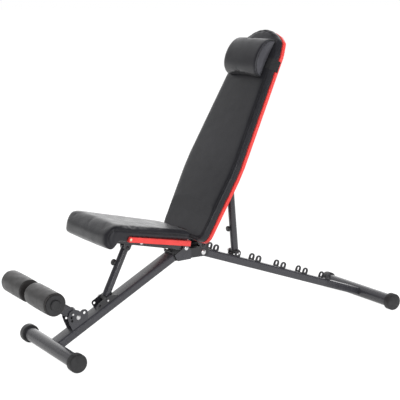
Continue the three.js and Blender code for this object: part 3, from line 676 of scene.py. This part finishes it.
def seat_side_seam(rear, nose, top, base, board_top):
    """Side view of the seat's piped seam: up at the rear, along the top and down round the nose."""
    drop, reach, radius = 0.011, 0.040, 0.030
    side = [(rear - 0.008, board_top + 0.004), (rear - 0.010, top - drop), (nose + reach, top - drop)]
    for i in range(7):
        angle = math.pi * 0.5 + math.pi * 0.5 * i / 6
        side.append((nose + reach + radius * math.cos(angle), top - drop - radius + radius * math.sin(angle)))
    side += [(nose + 0.012, base + 0.030), (nose + 0.020, base + 0.014), (nose + 0.036, base + 0.010)]
    return smooth_open(resample(np.array(side), SEAM_STEP, closed=False), 4)


def seat_cushion():
    """Seat pad: flat over its board, with a nose that rolls over the board's front edge and sags."""
    edge_slack, skin, cord_sunk = 0.0005, 0.0003, 0.0010
    low, high = local_box("seat_cushion", SEAT_TILT)
    board_low, board_high = local_box("seat_board", SEAT_TILT)
    pad = swollen_pad("seat_pad", "seat_cushion")
    crown(pad, SEAT_TILT, board_high[2], high[2], SEAT_CROWN, high[1])
    local = to_local(coords(pad.data), SEAT_TILT)
    hanging = (local[:, 0] < board_low[0] + edge_slack) & (local[:, 2] < board_low[2])
    local[hanging, 2] = board_low[2] + (local[hanging, 2] - board_low[2]) * NOSE_DROP
    over_board = local[:, 0] > board_low[0] + edge_slack
    local[over_board, 2] = np.maximum(local[over_board, 2], board_high[2] + skin)
    set_coords(pad.data, to_world(local, SEAT_TILT))
    subdivide(pad)
    profile = seat_side_seam(high[0], low[0], high[2], low[2], board_high[2])
    tree = surface_tree(pad)
    near = cast_path(tree, profile, "side", SEAT_TILT, -1.0)
    far = cast_path(tree, profile, "side", SEAT_TILT, 1.0)
    groove(pad, [near, far])
    finish_pad(pad, "seat_cushion", "seat")
    inward = np.array([0.0, cord_sunk, 0.0])
    seam_piece("seat_seam", [(near + inward, False), (far - inward, False)], "seat")


def head_pillow():
    """Half-round pillow with a seam round each end panel. The end panels get a lighter black leatherette,
    which is painted light for the light falling on their flat faces.
    """
    panel_depth, cord_sunk = 0.012, 0.0008
    low, high = local_box("head_pillow", BACK_TILT)
    pad = swollen_pad("pillow", "head_pillow")
    flatten_underside(pad, BACK_TILT, low[2] - 0.0005)
    subdivide(pad)
    middle = 0.5 * (low[0] + high[0])
    half = 0.5 * (high[0] - low[0])
    depth = high[2] - low[2]
    loop = []
    for i in range(60):
        angle = math.pi * i / 59
        reach = max(math.sin(angle), 0.0) ** 0.8
        loop.append((middle + (half - 0.006) * math.cos(angle), low[2] + 0.004 + (depth - 0.009) * reach))
    loop = resample(np.array(loop), 0.004)
    tree = surface_tree(pad)
    near = cast_path(tree, loop, "side", BACK_TILT, -1.0)
    far = cast_path(tree, loop, "side", BACK_TILT, 1.0)
    groove(pad, [near, far], PILLOW_SEAM_DEPTH, PILLOW_SEAM_WIDTH)
    finish_pad(pad, "head_pillow", "backrest")
    pad.data.materials.append(PAINTED_LIT_END_PANEL)
    # Faces at each end get the lighter leatherette: painted light on the end panels.
    for polygon in pad.data.polygons:
        if abs(polygon.normal.y) > 0.8 and abs(polygon.center.y) > high[1] - panel_depth:
            polygon.material_index = 1
    inward = np.array([0.0, cord_sunk, 0.0])
    seam_piece("pillow_seam", [(near + inward, True), (far - inward, True)], "backrest")


def strap(cushion):
    """Elastic drawn taut round the board and cushion; its ends tuck under the pillow."""
    step, tuck, board_thickness = 0.002, 0.008, 0.012
    points = np.vstack([coords(cushion.data), coords(NODES["backrest_board"].data)])
    local = to_local(points, BACK_TILT)
    low_board, _ = local_box("backrest_board", BACK_TILT)
    stations = np.linspace(STRAP_LOW, STRAP_HIGH, 9)
    rows = []
    for s in stations:
        band = local[np.abs(local[:, 0] - s) < 0.006]
        half = np.interp(s, BOARD_STATIONS, BOARD_HALF_WIDTHS)
        back, front_edge = low_board[2], low_board[2] + board_thickness
        corners = np.array([[half, back], [-half, back], [half, front_edge], [-half, front_edge]])
        hull = hull_outline(np.vstack([band[:, 1:], corners]))
        loop = smooth_closed(resample(hull, step), 2)
        centre = loop.mean(axis=0)
        front = loop[:, 1] > centre[1]
        keep = ~(front & (np.abs(loop[:, 0]) < PILLOW_HALF_WIDTH - tuck))
        start = int(np.argmax(keep & ~np.roll(keep, 1)))
        ordered = np.roll(loop, -start, axis=0)[: int(keep.sum())]
        rows.append(resample(ordered, step, closed=False))
    count = min(len(r) for r in rows)
    rows = [np.stack([np.interp(np.linspace(0, 1, count), np.linspace(0, 1, len(r)), r[:, k])
                      for k in range(2)], axis=1) for r in rows]
    rings = []
    for j in range(count):
        here = np.array([r[j] for r in rows])
        ahead = np.array([r[min(j + 1, count - 1)] for r in rows])
        behind = np.array([r[max(j - 1, 0)] for r in rows])
        tangent = ahead - behind
        tangent /= np.linalg.norm(tangent, axis=1)[:, None]
        outward = np.stack([tangent[:, 1], -tangent[:, 0]], axis=1)
        inner = here + outward * STRAP_GAP
        outer = here + outward * (STRAP_GAP + STRAP_THICKNESS)
        lower = np.column_stack([stations, inner])
        upper = np.column_stack([stations, outer])[::-1]
        rings.append(to_world(np.vstack([lower, upper]), BACK_TILT))
    band = from_rings("strap", rings)
    for polygon in band.data.polygons:
        polygon.use_smooth = False
    finish_pad(band, "pillow_strap", "backrest", slot="elastic")


def foam_roller(side):
    """Foam sleeve with a soft barrel shape, rounded ends and slight unevenness."""
    bore, shoulder, recess, dish = 0.0126, 0.020, 0.0015, 0.0002
    corner, barrel, land = 0.004, 0.0006, 0.001
    around, steps = 96, 26
    node = f"roller_{side}"
    low, high = (np.array(v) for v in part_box(node))
    centre_x, centre_z = 0.5 * (low[0] + high[0]), 0.5 * (low[2] + high[2])
    radius = 0.5 * (high[2] - low[2]) + 0.0002
    length = high[1] - low[1]
    flat = radius - corner - land
    quarter = [math.pi / 2 * i / 6 for i in range(7)]
    profile = [(bore, low[1] + recess), (shoulder, low[1] + dish), (flat, low[1])]
    for angle in quarter:
        reach, inset = corner * math.sin(angle), corner * math.cos(angle)
        profile.append((radius - corner + reach, low[1] + corner - inset))
    for i in range(1, steps):
        t = i / steps
        profile.append((radius + barrel * math.sin(math.pi * t), low[1] + corner + (length - 2 * corner) * t))
    for angle in quarter:
        reach, inset = corner * math.cos(angle), corner * math.sin(angle)
        profile.append((radius - corner + reach, high[1] - corner + inset))
    profile += [(flat, high[1]), (shoulder, high[1] - dish), (bore, high[1] - recess)]
    rings = []
    for r, y in profile:
        ring = []
        for j in range(around):
            angle = 2 * math.pi * j / around
            uneven = 0.00025 * math.sin(3 * angle + 40 * y) + 0.0002 * math.sin(7 * angle - 70 * y)
            reach = r + (uneven if r > 0.03 else 0.0)
            ring.append((centre_x + reach * math.cos(angle), y, centre_z + reach * math.sin(angle)))
        rings.append(ring)
    roller = from_rings(f"foam_{side}", rings, closed_along=True)
    finish_pad(roller, node, f"{side}_roller", slot="foam")


def bare_spots():
    """Cream patch at the front end of the seat board's edge, where the cover starts."""
    from_front, from_edge = 0.0060, 0.0012
    sections = ((0.0, 0.0050), (0.0012, 0.0050), (0.0017, 0.0040))
    low, high = local_box("seat_board", SEAT_TILT)
    local = to_local(coords(NODES["seat_board"].data), SEAT_TILT)
    front = local[local[:, 0] < low[0] + 0.002]
    edge = np.abs(front[:, 1]).max()
    along, out = low[0] + from_front, 0.5 * (low[2] + high[2])
    for side, sign in (("near", -1), ("far", 1)):
        rings = []
        for depth, radius in sections:
            ring = []
            for j in range(24):
                angle = 2 * math.pi * j / 24
                across = sign * (edge - from_edge + depth)
                ring.append((along + radius * math.cos(angle), across, out + radius * math.sin(angle)))
            rings.append(to_world(np.array(ring), SEAT_TILT))
        spot = from_rings(f"bare_edge_{side}", rings)
        finish_pad(spot, None, "seat", slot="red_edge", material=BARE)


# ------------------------------------------------------------------ studio

def studio():
    """White backdrop and floor for the lens; for the bench a bright back wall, a dim front and soft boxes."""
    floor = bpy.data.meshes.new("floor")
    size = FLOOR_HALF_SIZE
    corners = [(-size, -size, 0), (size, -size, 0), (size, size, 0), (-size, size, 0)]
    floor.from_pydata(corners, [], [(0, 1, 2, 3)])
    floor_object = new_object("floor", floor)
    floor_object.location.z = -0.0005
    ground = Nodes("floor_paint")
    ground.set(Base_Color=(0.22, 0.22, 0.22, 1.0), Roughness=0.9)
    ground.shader.inputs["Specular IOR Level"].default_value = 0.0
    paths = ground.add("LightPath").outputs
    place = ground.add("NewGeometry").outputs["Position"]
    depth = ground.add("SeparateXYZ", {"Vector": place}).outputs["Y"]
    behind = ground.scaled(depth, 0.4, 1.6, FLOOR_LIGHT, BACKDROP_LIGHT)
    mirrored = ground.add("Math", {0: behind, 1: paths["Is Glossy Ray"]}, operation="MULTIPLY").outputs[0]
    seen = ground.add("Math", {0: paths["Is Camera Ray"], 1: FLOOR_SEEN}, operation="MULTIPLY").outputs[0]
    glow = ground.add("Math", {0: mirrored, 1: seen}, operation="ADD").outputs[0]
    ground.set(Emission_Color=(1.0, 1.0, 1.0, 1.0), Emission_Strength=glow)
    paint(floor_object, ground.material)

    world = bpy.data.worlds.new("studio")
    world.use_nodes = True
    bpy.context.scene.world = world
    tree = world.node_tree
    tree.nodes.clear()
    link = tree.links.new

    def node(kind, operation=None, values=()):
        made = tree.nodes.new("ShaderNode" + kind)
        if operation:
            made.operation = operation
        for key, value in values:
            if isinstance(value, bpy.types.NodeSocket):
                link(value, made.inputs[key])
            else:
                made.inputs[key].default_value = value
        return made

    direction = node("TexCoord").outputs["Generated"]
    split = node("SeparateXYZ", values=[("Vector", direction)])
    behind = node("MapRange", values=[("Value", split.outputs["Y"]), ("From Min", BACKDROP_START),
                                      ("From Max", BACKDROP_FULL), ("To Max", BACKDROP_LIGHT)])
    low = node("MapRange", values=[("Value", split.outputs["Z"]), ("From Min", 0.95), ("From Max", 0.55)])
    right = node("MapRange", values=[("Value", split.outputs["X"]), ("From Min", -0.6), ("From Max", 0.6),
                                     ("To Min", 0.3), ("To Max", 1.5)])
    level = node("Math", "MULTIPLY", [(0, behind.outputs[0]), (1, low.outputs[0])])
    wall = node("Math", "MULTIPLY", [(0, level.outputs[0]), (1, right.outputs[0])])
    light = node("Math", "ADD", [(0, wall.outputs[0]), (1, ROOM_LIGHT)])
    lens = node("LightPath").outputs["Is Camera Ray"]
    strength = node("Mix", values=[(0, lens), (2, light.outputs[0]), (3, 1.0)])
    back = node("Background", values=[("Strength", strength.outputs[0])])
    back.inputs["Color"].default_value = (1.0, 1.0, 1.0, 1.0)
    link(back.outputs[0], node("OutputWorld").inputs["Surface"])

    def softbox(name, place, target, width, height, power, glossy=False):
        data = bpy.data.lights.new(name, "AREA")
        data.shape = "RECTANGLE"
        data.size, data.size_y = width, height
        data.energy = power
        light = bpy.data.objects.new(name, data)
        light.location = place
        heading = Vector(target) - Vector(place)
        light.rotation_euler = heading.to_track_quat("-Z", "Y").to_euler()
        light.visible_glossy = glossy
        bpy.context.scene.collection.objects.link(light)

    softbox("key", (-2.4, -3.2, 1.9), (0.0, 0.0, 0.4), 2.0, 1.8, 120.0)
    softbox("top", (0.4, 0.6, 3.4), (0.0, 0.0, 0.3), 2.4, 2.0, 60.0)
    softbox("fill", (2.6, -2.8, 1.1), (0.0, 0.0, 0.4), 1.8, 1.8, 70.0)
    softbox("glint", (-1.2, -3.8, 1.3), (0.0, 0.0, 0.3), 0.7, 0.7, 30.0, glossy=True)


def camera():
    data = bpy.data.cameras.new("camera")
    data.sensor_width = 36.0
    data.lens = CAMERA_LENS
    data.shift_x, data.shift_y = CAMERA_SHIFT
    obj = bpy.data.objects.new("camera", data)
    obj.location = CAMERA_PLACE
    obj.rotation_euler = (math.pi / 2 - CAMERA_PITCH, 0.0, -CAMERA_YAW)
    bpy.context.scene.collection.objects.link(obj)
    bpy.context.scene.camera = obj


dress_cad_nodes()
back_pad = backrest_cushion()
seat_cushion()
head_pillow()
strap(back_pad)
foam_roller("near")
foam_roller("far")
bare_spots()
studio()
camera()
bpy.context.scene.view_settings.view_transform = "Standard"
